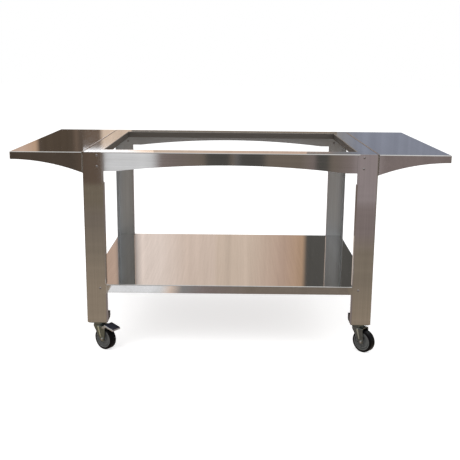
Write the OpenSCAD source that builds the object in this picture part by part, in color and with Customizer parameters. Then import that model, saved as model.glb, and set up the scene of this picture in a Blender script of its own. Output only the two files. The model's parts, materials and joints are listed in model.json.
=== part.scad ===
// Stainless steel cart for a pizza oven: an open deck on four angle legs, with
// arched aprons, two side shelves, a lower shelf and four swivel casters, one braked.
// +Z is up, +Y points from the front to the back, the floor is at z = 0.

/* [Cart] */
// Height of the deck above the floor
cart_h = 900; // [860:1:960]
// Width across the outer faces of the legs
frame_w = 1270; // [1100:1:1400]
// Depth from the front legs to the back legs
frame_d = 1016; // [850:1:1100]
// Thickness of the leg sheet
leg_sheet = 2; // [1.5:0.1:3]
// Thickness of the sheet of the deck members and shelves
panel_sheet = 1.5; // [1:0.1:2]
// Inside radius of the sheet bends
bend_r = 2; // [1:0.5:3]
// Gap between members that butt against each other
joint_gap = 0.3; // [0.2:0.1:1]

/* [Legs] */
// Width of a leg's front or back face
leg_face_w = 90; // [86:1:110]
// Width of a leg's side face
leg_side_w = 65; // [60:1:85]
// Depth of the stiffening lip on the free edge of the face
leg_lip_w = 27; // [15:1:35]
// Radius of the face's upper free corner
leg_corner_r = 16; // [5:1:25]
// Distance from the apron's lower edge down to the top of the lip
lip_below_apron = 50; // [20:1:90]
// Room left in the lip above and below the lower shelf
lip_notch_room = 4; // [2:1:10]

/* [Deck members] */
// Width of the aprons' top flange, from the leg's face
apron_flange_w = 100; // [80:1:120]
// Height of an apron at its ends
apron_end_h = 82; // [75:1:100]
// Height of an apron at mid span
apron_mid_h = 53; // [40:1:70]
// Straight length of the apron's lower edge beside each leg
apron_flat = 45; // [10:1:100]
// Width of the side rails' top flange, from the leg's side
rail_flange_w = 80; // [60:1:110]
// Height of a side rail
rail_h = 82; // [75:1:100]
// Height of the lips around the deck opening
deck_lip_h = 30; // [15:1:40]

/* [Side shelves] */
// Reach of a side shelf out from the legs
shelf_reach = 311; // [250:1:400]
// Height of the skirts beside the legs
shelf_root_h = 90; // [80:1:110]
// Height of the skirt at the outer end
shelf_tip_h = 33; // [25:1:45]
// Gap between the skirts and the legs
shelf_leg_gap = 0.5; // [0.3:0.1:6]
// Width of the return at the foot of the end skirt
shelf_return_w = 12; // [5:1:20]

/* [Lower shelf] */
// Height of the lower shelf's surface above the floor
low_z = 310; // [270:1:400]
// Height of the lower shelf's skirts
low_skirt_h = 37; // [30:1:50]
// Width of the returns at the foot of the skirts
low_return_w = 12; // [5:1:20]

/* [Stiffening channels] */
// Width of a channel's web
channel_w = 50; // [30:1:80]
// Depth of the channels under the lower shelf
low_channel_h = 22; // [12:1:28]
// Depth of the channels under the side shelves
side_channel_h = 18; // [10:1:22]
// Width of a channel's brims
channel_brim = 15; // [8:1:25]
// Distance from the lower shelf's front and back edges to the channels
channel_inset = 260; // [150:1:350]
// Gap between a channel's ends and the skirts
channel_end_gap = 20; // [14:1:60]

/* [Frame bolts] */
// Diameter of the frame bolts
bolt_d = 6; // [5:0.5:6]
// Diameter of the domed bolt heads
bolt_head_d = 10.5; // [9:0.5:13]
// Height of the domed bolt heads
bolt_head_h = 3.3; // [2:0.1:4]
// Width of the nuts across the flats
nut_flats = 10; // [8:0.5:11]
// Height of the nuts
nut_h = 6; // [4:0.5:8]
// Diameter of the nuts' flange
nut_flange_d = 14; // [12:0.5:15]
// Length of a bolt beyond its nut
bolt_tail = 2; // [0.5:0.5:6]
// Distance from the deck to the upper bolts
bolt_top_drop = 14; // [12:1:20]
// Distance from the upper bolts to the lower bolts
bolt_pitch = 48; // [35:1:50]
// Distance from the leg's edge to the bolts in its face
face_bolt_in = 62; // [45:1:70]
// Distance from the leg's edge to the bolts in its side
side_bolt_in = 45; // [35:1:50]
// Distance from the lower shelf's surface to its bolts
low_bolt_drop = 16; // [12:1:20]
// Clearance of the bolts in their holes
bolt_clearance = 0.3; // [0.1:0.1:0.5]

/* [Foot brackets] */
// Thickness of the foot bracket's plate
foot_sheet = 3; // [2:0.5:4]
// Height of the foot bracket's upstands
foot_h = 25; // [15:1:40]
// Depth of the foot bracket, from the leg's face
foot_d = 96; // [94:1:110]

/* [Casters] */
// Height of a caster from the floor to its mounting face
caster_h = 134; // [133:1:140]
// Distance from the leg's face and side to the swivel axis
caster_inset = 47; // [45:0.5:48]
// Angle that the wheels trail forward of the cart's +X direction
caster_yaw = 45; // [0:1:90]
// The same angle for the front left wheel
left_caster_yaw = 35; // [0:1:90]
// Diameter of the wheel
wheel_d = 102; // [92:1:104]
// Width of the tyre
tyre_w = 33; // [26:1:35]
// Thickness of the rubber tyre
tyre_t = 10; // [5:0.5:10]
// Radius of the tyre's shoulders
tyre_shoulder_r = 4; // [2:0.5:4.5]
// Distance from the swivel axis to the wheel's axle
caster_trail = 34; // [28:1:38]
// Inside width between the fork's arms
fork_gap = 39; // [37:0.5:41]
// Thickness of the fork
fork_sheet = 3; // [2:0.5:4]
// Inside radius of the fork's bends
fork_bend_r = 3; // [2:0.5:5]
// Radius of the fork's arms around the axle
fork_eye_r = 13; // [10:0.5:15]
// Radius of the fork's crown
crown_r = 27; // [26.5:0.5:30]
// Diameter of the axle bolt
axle_d = 8; // [6:0.5:10]
// Width of the axle's head and nut across the flats
axle_flats = 13; // [10:0.5:15]
// Height of the axle's head and nut
axle_head_h = 5.5; // [4:0.5:7]
// Width of the mounting plate, along the cart's width
plate_w = 84; // [80:1:84]
// Depth of the mounting plate, along the cart's depth
plate_d = 90; // [86:1:90]
// Thickness of the mounting plate
plate_t = 3; // [2:0.5:4]
// Distance between the plate bolts along the width
plate_bolt_x = 56; // [52:1:57]
// Distance between the plate bolts along the depth
plate_bolt_y = 66; // [60:1:68]
// Diameter of the plate bolts
plate_bolt_d = 8; // [6:0.5:8]
// Height of the dust cup over the swivel bearing
cup_h = 10; // [8:0.5:12]
// Outer radius of the dust cup
cup_r = 28; // [27.5:0.5:30]
// Diameter of the king pin
king_d = 12; // [10:0.5:14]
// Radius of the rib pressed in each fork arm, at its upper end
rib_top_r = 7; // [5:0.5:7.5]
// Radius of the rib at its lower end
rib_low_r = 3.7; // [3:0.1:4]
// Radial running clearance of shafts in their holes
running_gap = 0.05; // [0.02:0.01:0.09]
// Gap between faces that turn past each other
face_gap = 0.3; // [0.2:0.1:0.5]

/* [Brakes] */
// Distance from the swivel axis to the pedal's tip
pedal_reach = 104; // [98:1:110]
// Distance from the swivel axis to the pedal's inner end
pedal_start = 50; // [49:1:53]
// Slope of the free pedal
pedal_slope = 14; // [10:1:18]
// Thickness of the pedal's steel
pedal_sheet = 2; // [1.5:0.5:2.5]
// Depth of the pedal's turned down rim
pedal_rim_h = 7; // [4:0.5:9]
// Thickness of the plastic tread on the pedal
pedal_pad_t = 3; // [1:0.5:3]
// Angle that the pedal turns to lock the wheel
lock_turn = 20; // [14:1:20]
// Diameter of the pedal's pin
pin_d = 5; // [4:0.5:6]
// Gap between the locked brake shoe and the tyre
shoe_gap = 0.4; // [0.3:0.1:1]

/* [Hidden] */

$fn = 48;
arch_facets = 240;
wheel_facets = 72;
shoe_facets = 96;
rib_facets = 32;
HEX_SIDES = 6;
LEFT = -1;
RIGHT = 1;
FRONT = -1;
BACK = 1;
SIDES = [LEFT, RIGHT];
ENDS = [FRONT, BACK];
cut = 1;

leg_bend = bend_r + leg_sheet;
panel_bend = bend_r + panel_sheet;
corner_relief = 1;
least_corner_r = 0.5;
nut_flange_share = 0.2;

lip_top_z = cart_h - apron_end_h - lip_below_apron;
lip_notch_low_z = low_z - low_skirt_h - lip_notch_room;
lip_notch_high_z = low_z + lip_notch_room;
deck_bolt_z = [cart_h - bolt_top_drop, cart_h - bolt_top_drop - bolt_pitch];
low_bolt_z = low_z - low_bolt_drop;

arch_half_w = frame_w / 2 - leg_face_w - apron_flat;
arch_rise = apron_end_h - apron_mid_h;
arch_r = (arch_half_w * arch_half_w + arch_rise * arch_rise) / (2 * arch_rise);
skirt_drop = shelf_root_h - shelf_tip_h;
skirt_r = (shelf_reach * shelf_reach + skirt_drop * skirt_drop) / (2 * skirt_drop);

wheel_r = wheel_d / 2;
rim_r = wheel_r - tyre_t;
arm_outer = fork_gap / 2 + fork_sheet;
crown_room = 10;
crown_low_z = wheel_d + crown_room;
crown_top_z = crown_low_z + fork_sheet;
plate_low_z = caster_h - plate_t;
plate_corner_r = 8;
plate_head_d = plate_bolt_d + 6;
plate_head_h = 4.4;
plate_nut_flats = plate_bolt_d + 5;
plate_nut_flange_d = plate_bolt_d + 8;
king_head_h = 3;
king_head_rim = 5;
pin_x = 43;
pin_over_wheel = 4;
pin_z = wheel_d + pin_over_wheel;
pin_head_h = 1.5;
arm_start_x = -17;
crown_end_x = 41;
pin_margin = 8;
braked_arm_end_x = pin_x + pin_margin;
pedal_over_wheel = 19;
pedal_top_z = wheel_d + pedal_over_wheel;
pedal_len = (pedal_reach - pedal_start) / cos(pedal_slope);
pedal_ear_r = 7;
ear_foot = 12;
ear_lap = 1;
ear_inset = 0.2;
ear_sheet = pedal_sheet - 2 * ear_inset;
cheek_inner = arm_outer + face_gap;
pedal_half = cheek_inner + pedal_sheet;
shoe_x = 12;
shoe_len = 16;
shoe_half = 12;

// The pedal reaches further forward than the frame, and the bolt heads further back.
// The origin is the middle of the whole cart, so the frame lies a little behind it.
pedal_front_reach = pedal_reach * sin(left_caster_yaw) + pedal_half * cos(left_caster_yaw) - caster_inset;
frame_shift_y = (max(pedal_front_reach, bolt_head_h) - bolt_head_h) / 2;
front_y = frame_shift_y - frame_d / 2;
back_y = frame_shift_y + frame_d / 2;

// Folded sheet

module corner_ring_2d(outer_r, inner_r) {
    intersection() {
        difference() {
            circle(outer_r);
            circle(inner_r);
        }
        translate([-outer_r, -outer_r]) square(outer_r);
    }
}

module round_top_2d(w, h, r) {
    translate([0, -h]) square([w, h - r]);
    translate([r, -h]) square([w - 2 * r, h]);
    translate([r, -r]) circle(r);
    translate([w - r, -r]) circle(r);
}

module round_plan_2d(w, d, r) {
    translate([0, r]) square([w, d - 2 * r]);
    translate([r, 0]) square([w - 2 * r, d]);
    for (x = [r, w - r], y = [r, d - r]) translate([x, y]) circle(r);
}

module tray_block(w, d, h, edge_r, corner_r) {
    intersection() {
        translate([0, d, 0]) rotate([90, 0, 0]) linear_extrude(d) round_top_2d(w, h, edge_r);
        rotate([90, 0, 90]) linear_extrude(w) round_top_2d(d, h, edge_r);
        translate([0, 0, -h]) linear_extrude(h) round_plan_2d(w, d, corner_r);
    }
}

// An upturned tray: a top with skirts down all four sides, its top at z = 0.
module tray(w, d, h, sheet, inner_r, corner_r) {
    difference() {
        tray_block(w, d, h, inner_r + sheet, corner_r);
        translate([sheet, sheet, -sheet])
            tray_block(w - 2 * sheet, d - 2 * sheet, h, inner_r, max(corner_r - sheet, least_corner_r));
    }
}

module hat_channel(len, web_w, h, brim, sheet) {
    rotate([90, 0, 90]) linear_extrude(len, center = true) {
        for (s = SIDES) {
            translate([s * (web_w + brim - sheet) / 2, -sheet / 2])
                square([brim + sheet, sheet], center = true);
            translate([s * (web_w - sheet) / 2, -h / 2]) square([sheet, h], center = true);
        }
        translate([0, sheet / 2 - h]) square([web_w, sheet], center = true);
    }
}

// Children are drawn with x inward from the leg's side and y inward from its face.
module at_corner(side, end) {
    translate([side * frame_w / 2, end == FRONT ? front_y : back_y, 0])
        mirror([side == RIGHT ? 1 : 0, 0, 0])
            mirror([0, end == BACK ? 1 : 0, 0])
                children();
}

// Children are drawn with x outward from the legs and y from front to back.
module at_side(side) {
    translate([side * frame_w / 2, front_y, 0])
        mirror([side == LEFT ? 1 : 0, 0, 0])
            children();
}

// Children are drawn with x across the cart and y inward from the legs' faces.
module at_end(end) {
    translate([0, end == FRONT ? front_y : back_y, 0])
        mirror([0, end == BACK ? 1 : 0, 0])
            children();
}

// Bolts and nuts

module dome_bolt(d, head_d, head_h, len) {
    dome_r = (head_d * head_d / 4 + head_h * head_h) / (2 * head_h);
    intersection() {
        translate([0, 0, head_h - dome_r]) sphere(dome_r);
        cylinder(h = head_h, d = head_d);
    }
    translate([0, 0, -len]) cylinder(h = len, d = d);
}

// Diameter over the corners of a hexagon.
function over_corners(flats) = flats / cos(180 / HEX_SIDES);

module flange_nut(d, flats, h, flange_d) {
    difference() {
        union() {
            cylinder(h = h * nut_flange_share, d = flange_d);
            cylinder(h = h, d = over_corners(flats), $fn = HEX_SIDES);
        }
        translate([0, 0, -cut]) cylinder(h = h + 2 * cut, d = d + 2 * running_gap);
    }
}

// Bolt places: z points out of the leg's face or side.
module at_face_bolt(z) {
    translate([face_bolt_in, 0, z]) rotate([90, 0, 0]) children();
}

module at_side_bolt(z) {
    translate([0, side_bolt_in, z]) rotate([0, -90, 0]) children();
}

module hole(grip) {
    translate([0, 0, -grip - cut]) cylinder(h = grip + 2 * cut, d = bolt_d + 2 * bolt_clearance);
}

face_grip = leg_sheet + panel_sheet;
frame_bolt_len = face_grip + nut_h + bolt_tail;

module frame_bolt(proud) {
    translate([0, 0, proud])
        dome_bolt(bolt_d, bolt_head_d, bolt_head_h, frame_bolt_len + proud);
}

module frame_nut() {
    translate([0, 0, -face_grip])
        rotate([180, 0, 0])
            flange_nut(bolt_d, nut_flats, nut_h, nut_flange_d);
}

// Legs

module leg_2d(with_lip) {
    face_len = leg_face_w - leg_bend - (with_lip ? leg_bend : 0);
    translate([leg_bend, 0]) square([face_len, leg_sheet]);
    translate([0, leg_bend]) square([leg_sheet, leg_side_w - leg_bend]);
    translate([leg_bend, leg_bend]) corner_ring_2d(leg_bend, bend_r);
    if (with_lip) {
        translate([leg_face_w - leg_bend, leg_bend]) mirror([1, 0]) corner_ring_2d(leg_bend, bend_r);
        translate([leg_face_w - leg_sheet, leg_bend]) square([leg_sheet, leg_lip_w - leg_bend]);
    }
}

module leg_length(low, high, with_lip) {
    translate([0, 0, low]) linear_extrude(high - low) leg_2d(with_lip);
}

module leg() {
    difference() {
        union() {
            leg_length(caster_h, lip_notch_low_z, true);
            leg_length(lip_notch_low_z, lip_notch_high_z, false);
            leg_length(lip_notch_high_z, lip_top_z, true);
            leg_length(lip_top_z, cart_h, false);
        }
        translate([leg_face_w - leg_corner_r, 0, cart_h - leg_corner_r]) rotate([-90, 0, 0])
            difference() {
                translate([0, -leg_corner_r - cut, -cut])
                    cube([leg_corner_r + cut, leg_corner_r + cut, leg_sheet + 2 * cut]);
                translate([0, 0, -2 * cut]) cylinder(h = leg_sheet + 4 * cut, r = leg_corner_r);
            }
        for (z = concat(deck_bolt_z, [low_bolt_z])) {
            at_face_bolt(z) hole(leg_sheet);
            at_side_bolt(z) hole(leg_sheet);
        }
    }
}

// Deck members

// A member with a face, a top flange and, between the joints, a lip down its inner edge.
// x runs inward from the leg, y is up from the deck's top.
module member_2d(flange_w, h, with_lip) {
    flange_len = flange_w - leg_sheet - panel_bend - (with_lip ? panel_bend : 0);
    translate([leg_sheet, -h]) square([panel_sheet, h - panel_bend]);
    translate([leg_sheet + panel_bend, -panel_bend]) mirror([0, 1]) corner_ring_2d(panel_bend, bend_r);
    translate([leg_sheet + panel_bend, -panel_sheet]) square([flange_len, panel_sheet]);
    if (with_lip) {
        translate([flange_w - panel_bend, -panel_bend]) rotate(180) corner_ring_2d(panel_bend, bend_r);
        translate([flange_w - panel_sheet, -deck_lip_h]) square([panel_sheet, deck_lip_h - panel_bend]);
    }
}

module apron() {
    apron_len = frame_w - 2 * leg_bend;
    lip_len = frame_w - 2 * rail_flange_w;
    end_len = (apron_len - lip_len) / 2;
    difference() {
        translate([0, 0, cart_h]) rotate([90, 0, 90]) {
            linear_extrude(lip_len, center = true) member_2d(apron_flange_w, apron_end_h, true);
            for (s = SIDES) translate([0, 0, s * (lip_len + end_len) / 2])
                linear_extrude(end_len, center = true) member_2d(apron_flange_w, apron_end_h, false);
        }
        translate([0, 0, cart_h - apron_mid_h - arch_r]) rotate([-90, 0, 0])
            cylinder(h = leg_sheet + panel_sheet + cut, r = arch_r, $fn = arch_facets);
        for (s = SIDES, z = deck_bolt_z)
            translate([s * (frame_w / 2 - face_bolt_in), 0, z]) rotate([90, 0, 0]) hole(face_grip);
    }
}

module side_rail() {
    rail_len = frame_d - 2 * apron_flange_w - 2 * joint_gap;
    ear_start = leg_sheet + panel_bend + joint_gap;
    ear_top = cart_h - panel_sheet - joint_gap;
    difference() {
        union() {
            translate([0, frame_d / 2, cart_h]) mirror([1, 0, 0]) rotate([90, 0, 0])
                linear_extrude(rail_len, center = true) member_2d(rail_flange_w, rail_h, true);
            translate([-leg_sheet - panel_sheet, ear_start, cart_h - rail_h])
                cube([panel_sheet, apron_flange_w + joint_gap + cut - ear_start, ear_top + rail_h - cart_h]);
            translate([-leg_sheet - panel_sheet, frame_d - apron_flange_w - joint_gap - cut, cart_h - rail_h])
                cube([panel_sheet, apron_flange_w + joint_gap + cut - ear_start, ear_top + rail_h - cart_h]);
        }
        for (y = [side_bolt_in, frame_d - side_bolt_in], z = deck_bolt_z)
            translate([0, y, z]) rotate([0, 90, 0]) hole(face_grip);
    }
}

// Shelves

module side_shelf() {
    difference() {
        union() {
            translate([0, 0, cart_h])
                tray(shelf_reach, frame_d, shelf_root_h, panel_sheet, bend_r, panel_bend);
            translate([shelf_reach - shelf_return_w, panel_sheet, cart_h - shelf_tip_h])
                cube([shelf_return_w - panel_sheet, frame_d - 2 * panel_sheet, panel_sheet]);
        }
        difference() {
            translate([shelf_reach, -cut, cart_h - shelf_tip_h - skirt_r]) rotate([-90, 0, 0])
                cylinder(h = frame_d + 2 * cut, r = skirt_r, $fn = arch_facets);
            translate([-skirt_r, -2 * cut, 0])
                cube([skirt_r + panel_sheet, frame_d + 4 * cut, cart_h]);
        }
        for (y = [-cut, frame_d - panel_bend])
            translate([-cut, y, cart_h - shelf_root_h - cut])
                cube([shelf_leg_gap + cut, panel_bend + cut, shelf_root_h + cut - panel_bend]);
        for (y = [side_bolt_in, frame_d - side_bolt_in], z = deck_bolt_z)
            translate([panel_sheet, y, z]) rotate([0, 90, 0]) hole(panel_sheet);
    }
}

low_w = frame_w - 2 * leg_sheet;
low_d = frame_d - 2 * leg_sheet;

module lower_shelf_body() {
    return_z = low_z - low_skirt_h + panel_sheet / 2;
    return_in = (low_return_w + panel_sheet) / 2;
    corner_notch = 2 * (low_return_w + corner_relief);
    difference() {
        union() {
            translate([-low_w / 2, front_y + leg_sheet, low_z])
                tray(low_w, low_d, low_skirt_h, panel_sheet, bend_r, bend_r + corner_relief);
            for (s = ENDS) translate([0, frame_shift_y + s * (low_d / 2 - return_in), return_z])
                cube([low_w - corner_notch, low_return_w - panel_sheet, panel_sheet], center = true);
            for (s = SIDES) translate([s * (low_w / 2 - return_in), frame_shift_y, return_z])
                cube([low_return_w - panel_sheet, low_d - corner_notch, panel_sheet], center = true);
        }
        for (side = SIDES, end = ENDS) at_corner(side, end) {
            at_face_bolt(low_bolt_z) hole(face_grip);
            at_side_bolt(low_bolt_z) hole(face_grip);
        }
    }
}

module lower_channel(end) {
    len = low_w - 2 * panel_sheet - 2 * channel_end_gap;
    translate([0, frame_shift_y + end * (low_d / 2 - channel_inset), low_z - panel_sheet])
        hat_channel(len, channel_w, low_channel_h, channel_brim, panel_sheet);
}

module shelf_channel() {
    len = frame_d - 2 * panel_sheet - 2 * channel_end_gap;
    translate([shelf_reach / 2, frame_d / 2, cart_h - panel_sheet]) rotate(90)
        hat_channel(len, channel_w, side_channel_h, channel_brim, panel_sheet);
}

// Feet

module foot_bracket() {
    foot_w = leg_face_w - 2 * leg_sheet;
    translate([leg_sheet, leg_bend, caster_h]) difference() {
        cube([foot_w, foot_d - leg_bend, foot_h]);
        translate([foot_sheet, -cut, foot_sheet])
            cube([foot_w - 2 * foot_sheet, foot_d - leg_bend - foot_sheet + cut, foot_h]);
        translate([caster_inset - leg_sheet, caster_inset - leg_bend, 0]) plate_holes(foot_sheet);
    }
}

module plate_holes(thickness) {
    for (x = SIDES, y = ENDS)
        translate([x * plate_bolt_x / 2, y * plate_bolt_y / 2, -cut])
            cylinder(h = thickness + 2 * cut, d = plate_bolt_d + 2 * bolt_clearance);
}

module plate_bolts() {
    len = plate_t + foot_sheet + nut_h + bolt_tail;
    for (x = SIDES, y = ENDS)
        translate([x * plate_bolt_x / 2, y * plate_bolt_y / 2, plate_low_z]) rotate([180, 0, 0])
            dome_bolt(plate_bolt_d, plate_head_d, plate_head_h, len);
}

module plate_nuts() {
    for (x = SIDES, y = ENDS)
        translate([x * plate_bolt_x / 2, y * plate_bolt_y / 2, caster_h + foot_sheet])
            flange_nut(plate_bolt_d, plate_nut_flats, nut_h, plate_nut_flange_d);
}

// Casters, drawn with z along the swivel axis and the wheel trailing along +x

module at_caster(side, end) {
    translate([
        side * (frame_w / 2 - caster_inset),
        (end == FRONT ? front_y + caster_inset : back_y - caster_inset),
        0
    ]) children();
}

module at_swivel(side, end) {
    yaw = side == LEFT && end == FRONT ? left_caster_yaw : caster_yaw;
    at_caster(side, end) rotate([0, 0, -yaw]) children();
}

module caster_plate() {
    difference() {
        union() {
            translate([-plate_w / 2, -plate_d / 2, plate_low_z])
                linear_extrude(plate_t) round_plan_2d(plate_w, plate_d, plate_corner_r);
            translate([0, 0, plate_low_z - cup_h]) cylinder(h = cup_h, r = cup_r);
        }
        translate([0, 0, plate_low_z]) plate_holes(plate_t);
        translate([0, 0, plate_low_z - cup_h - cut])
            cylinder(h = cup_h - plate_t + cut, r = cup_r - plate_t);
        translate([0, 0, plate_low_z - cup_h - cut])
            cylinder(h = cup_h + plate_t + 2 * cut, d = king_d + 2 * running_gap);
    }
}

module king_pin() {
    head_low_z = crown_low_z - face_gap - king_head_h;
    translate([0, 0, head_low_z]) cylinder(h = caster_h - head_low_z, d = king_d);
    translate([0, 0, head_low_z]) cylinder(h = king_head_h, d = king_d + 2 * king_head_rim);
}

// Point where a line from p touches a circle at c, on the given side.
function tangent_point(p, c, r, side) =
    let (dx = p[0] - c[0], dz = p[1] - c[1])
    let (turn = atan2(dz, dx) + side * acos(r / sqrt(dx * dx + dz * dz)))
    [c[0] + r * cos(turn), c[1] + r * sin(turn)];

module fork_outline_2d(arm_end_x) {
    axle = [caster_trail, wheel_r];
    inner_drop = 11;
    outer_drop = 13;
    inner_shoulder = [arm_start_x, crown_top_z - inner_drop];
    outer_shoulder = [arm_end_x, crown_top_z - outer_drop];
    polygon([
        [arm_start_x, crown_top_z],
        inner_shoulder,
        tangent_point(inner_shoulder, axle, fork_eye_r, 1),
        axle,
        tangent_point(outer_shoulder, axle, fork_eye_r, -1),
        outer_shoulder,
        [arm_end_x, crown_top_z]
    ]);
    translate(axle) circle(fork_eye_r);
}

// The rib pressed in an arm: it tapers from a wide round top to a narrow foot by the axle.
module fork_rib() {
    top_x = 11;
    foot_x = 24;
    top_sunk = 4;
    foot_sunk = 2.2;
    foot_over_axle = 12;
    top = [top_x, arm_outer - top_sunk, crown_low_z - rib_top_r];
    foot = [foot_x, arm_outer - foot_sunk, wheel_r + foot_over_axle];
    run = foot - top;
    rib_len = norm(run);
    intersection() {
        union() {
            translate(top) sphere(rib_top_r, $fn = rib_facets);
            translate(foot) sphere(rib_low_r, $fn = rib_facets);
            translate(top) rotate([0, acos(run[2] / rib_len), atan2(run[1], run[0])])
                cylinder(h = rib_len, r1 = rib_top_r, r2 = rib_low_r, $fn = rib_facets);
        }
        translate([arm_start_x, fork_gap / 2 + fork_sheet / 2, 0]) cube([wheel_d, fork_gap, crown_top_z]);
    }
}

module fork(braked) {
    outer_r = fork_bend_r + fork_sheet;
    arm_end_x = braked ? braked_arm_end_x : crown_end_x;
    race_top_z = plate_low_z - plate_t - face_gap;
    difference() {
        union() {
            intersection() {
                translate([arm_start_x, 0, 0]) rotate([90, 0, 90]) linear_extrude(wheel_d) difference() {
                    translate([-arm_outer, crown_top_z]) round_top_2d(2 * arm_outer, crown_top_z, outer_r);
                    translate([-fork_gap / 2, crown_low_z]) round_top_2d(fork_gap, crown_top_z, fork_bend_r);
                }
                rotate([90, 0, 0]) linear_extrude(2 * arm_outer, center = true)
                    fork_outline_2d(arm_end_x);
            }
            translate([0, 0, crown_low_z]) cylinder(h = fork_sheet, r = crown_r);
            translate([0, 0, crown_low_z])
                cylinder(h = race_top_z - crown_low_z, r = cup_r - plate_t - face_gap);
            fork_rib();
            mirror([0, 1, 0]) fork_rib();
        }
        translate([crown_end_x, -fork_gap / 2, crown_low_z - fork_bend_r])
            cube([wheel_d, fork_gap, crown_top_z]);
        translate([0, 0, crown_low_z - cut])
            cylinder(h = caster_h, d = king_d + 2 * running_gap);
        translate([caster_trail, 0, wheel_r]) rotate([90, 0, 0])
            cylinder(h = 2 * arm_outer + 2 * cut, d = axle_d + 2 * running_gap, center = true);
        if (braked) translate([pin_x, 0, pin_z]) rotate([90, 0, 0])
            cylinder(h = 2 * arm_outer + 2 * cut, d = pin_d + 2 * running_gap, center = true);
    }
}

module axle() {
    translate([caster_trail, 0, wheel_r]) rotate([90, 0, 0]) {
        cylinder(h = 2 * (arm_outer + axle_head_h) - cut, d = axle_d, center = true);
        for (s = SIDES) translate([0, 0, s * (arm_outer + axle_head_h / 2)])
            cylinder(h = axle_head_h, d = over_corners(axle_flats), $fn = HEX_SIDES, center = true);
    }
}

// The wheel's section: a hub, a thin disc with a raised ring, and the rim.
module wheel_2d() {
    hub_half = fork_gap / 2 - face_gap;
    rim_half = tyre_w / 2;
    bore_r = axle_d / 2 + running_gap;
    hub_wall = 5;
    hub_r = bore_r + hub_wall;
    hub_taper = 2;
    hub_neck = 4;
    hub_foot_r = hub_r + hub_wall;
    disc_half = 8;
    ring_in = 11;
    ring_sunk = 3;
    ring_r = rim_r - ring_in;
    ring_half = rim_half - ring_sunk;
    ring_top = 2;
    ring_foot = 4;
    step_half = disc_half + ring_top;
    rim_lip = 4;
    rim_step = 6;
    side = [
        [bore_r, hub_half], [hub_r, hub_half], [hub_r + hub_taper, hub_half - hub_neck],
        [hub_foot_r, disc_half], [ring_r - ring_foot, disc_half], [ring_r - ring_top, ring_half],
        [ring_r + ring_top, ring_half], [ring_r + ring_foot, step_half], [rim_r - rim_step, step_half],
        [rim_r - rim_lip, rim_half], [rim_r, rim_half]
    ];
    polygon(concat(side, [for (i = [len(side) - 1 : -1 : 0]) [side[i][0], -side[i][1]]]));
}

module wheel() {
    translate([caster_trail, 0, wheel_r]) rotate([90, 0, 0]) rotate_extrude($fn = wheel_facets) wheel_2d();
}

module tyre() {
    half = tyre_w / 2;
    shoulder = tyre_shoulder_r;
    translate([caster_trail, 0, wheel_r]) rotate([90, 0, 0]) rotate_extrude($fn = wheel_facets) {
        translate([rim_r, -half]) square([tyre_t - shoulder, tyre_w]);
        translate([rim_r, shoulder - half]) square([tyre_t, tyre_w - 2 * shoulder]);
        for (s = SIDES) intersection() {
            translate([wheel_r - shoulder, s * (half - shoulder)]) circle(shoulder);
            translate([rim_r, -half]) square([tyre_t, tyre_w]);
        }
    }
}

// Brakes. The pedal is drawn free, and turned about its pin to lock.

module turned_about_pin(angle) {
    translate([pin_x, 0, pin_z]) rotate([0, angle, 0]) translate([-pin_x, 0, -pin_z]) children();
}

module on_pedal() {
    translate([pedal_start, 0, pedal_top_z]) rotate([0, pedal_slope, 0]) children();
}

module brake_pedal() {
    difference() {
        union() {
            on_pedal() translate([0, -pedal_half, 0]) difference() {
                tray_block(pedal_len, 2 * pedal_half, pedal_rim_h, pedal_sheet, pedal_sheet);
                translate([-cut, pedal_sheet, -pedal_rim_h - pedal_sheet])
                    cube([pedal_len - pedal_sheet + cut, 2 * cheek_inner, pedal_rim_h]);
            }
            for (s = SIDES) translate([0, s * (cheek_inner + pedal_sheet / 2), 0]) rotate([90, 0, 0])
                linear_extrude(ear_sheet, center = true) {
                    translate([pin_x, pin_z]) circle(pedal_ear_r);
                    polygon([
                        [pin_x - pedal_ear_r, pin_z], [pin_x + pedal_ear_r, pin_z],
                        [pedal_start + ear_foot, pedal_top_z - pedal_rim_h - ear_lap],
                        [pedal_start + ear_lap, pedal_top_z - pedal_sheet]
                    ]);
                }
            on_pedal() translate([shoe_x, -shoe_half, -shoe_len - pedal_sheet])
                cube([shoe_len, 2 * shoe_half, shoe_len + pedal_sheet / 2]);
        }
        turned_about_pin(-lock_turn) translate([caster_trail, 0, wheel_r]) rotate([90, 0, 0])
            cylinder(h = 2 * pedal_half, r = wheel_r + shoe_gap, center = true, $fn = shoe_facets);
        translate([pin_x, 0, pin_z]) rotate([90, 0, 0])
            cylinder(h = 2 * pedal_half + 2 * cut, d = pin_d + 2 * running_gap, center = true);
    }
}

module pedal_tread() {
    margin = 2;
    groove_pitch = 8;
    on_pedal() difference() {
        translate([margin, margin - pedal_half, 0])
            cube([pedal_len - 2 * margin, 2 * pedal_half - 2 * margin, pedal_pad_t]);
        for (x = [3 * margin : groove_pitch : pedal_len - 3 * margin])
            translate([x, -pedal_half, pedal_pad_t - margin / 2])
                cube([margin, 2 * pedal_half, pedal_pad_t]);
    }
}

module brake_pin() {
    pin_half = pedal_half - ear_inset + face_gap;
    translate([pin_x, 0, pin_z]) rotate([90, 0, 0]) {
        cylinder(h = 2 * pin_half, d = pin_d, center = true);
        for (s = SIDES) translate([0, 0, s * (pin_half + pin_head_h / 2)])
            cylinder(h = pin_head_h, d = pin_d + 2 * pin_head_h, center = true);
    }
}

// Colours

STEEL = [0.68, 0.67, 0.66];
BRIGHT = [0.82, 0.83, 0.85];
BLACK = [0.07, 0.07, 0.08];
GREY = [0.27, 0.28, 0.29];
ZINC = [0.55, 0.56, 0.54];

// Nodes

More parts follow.
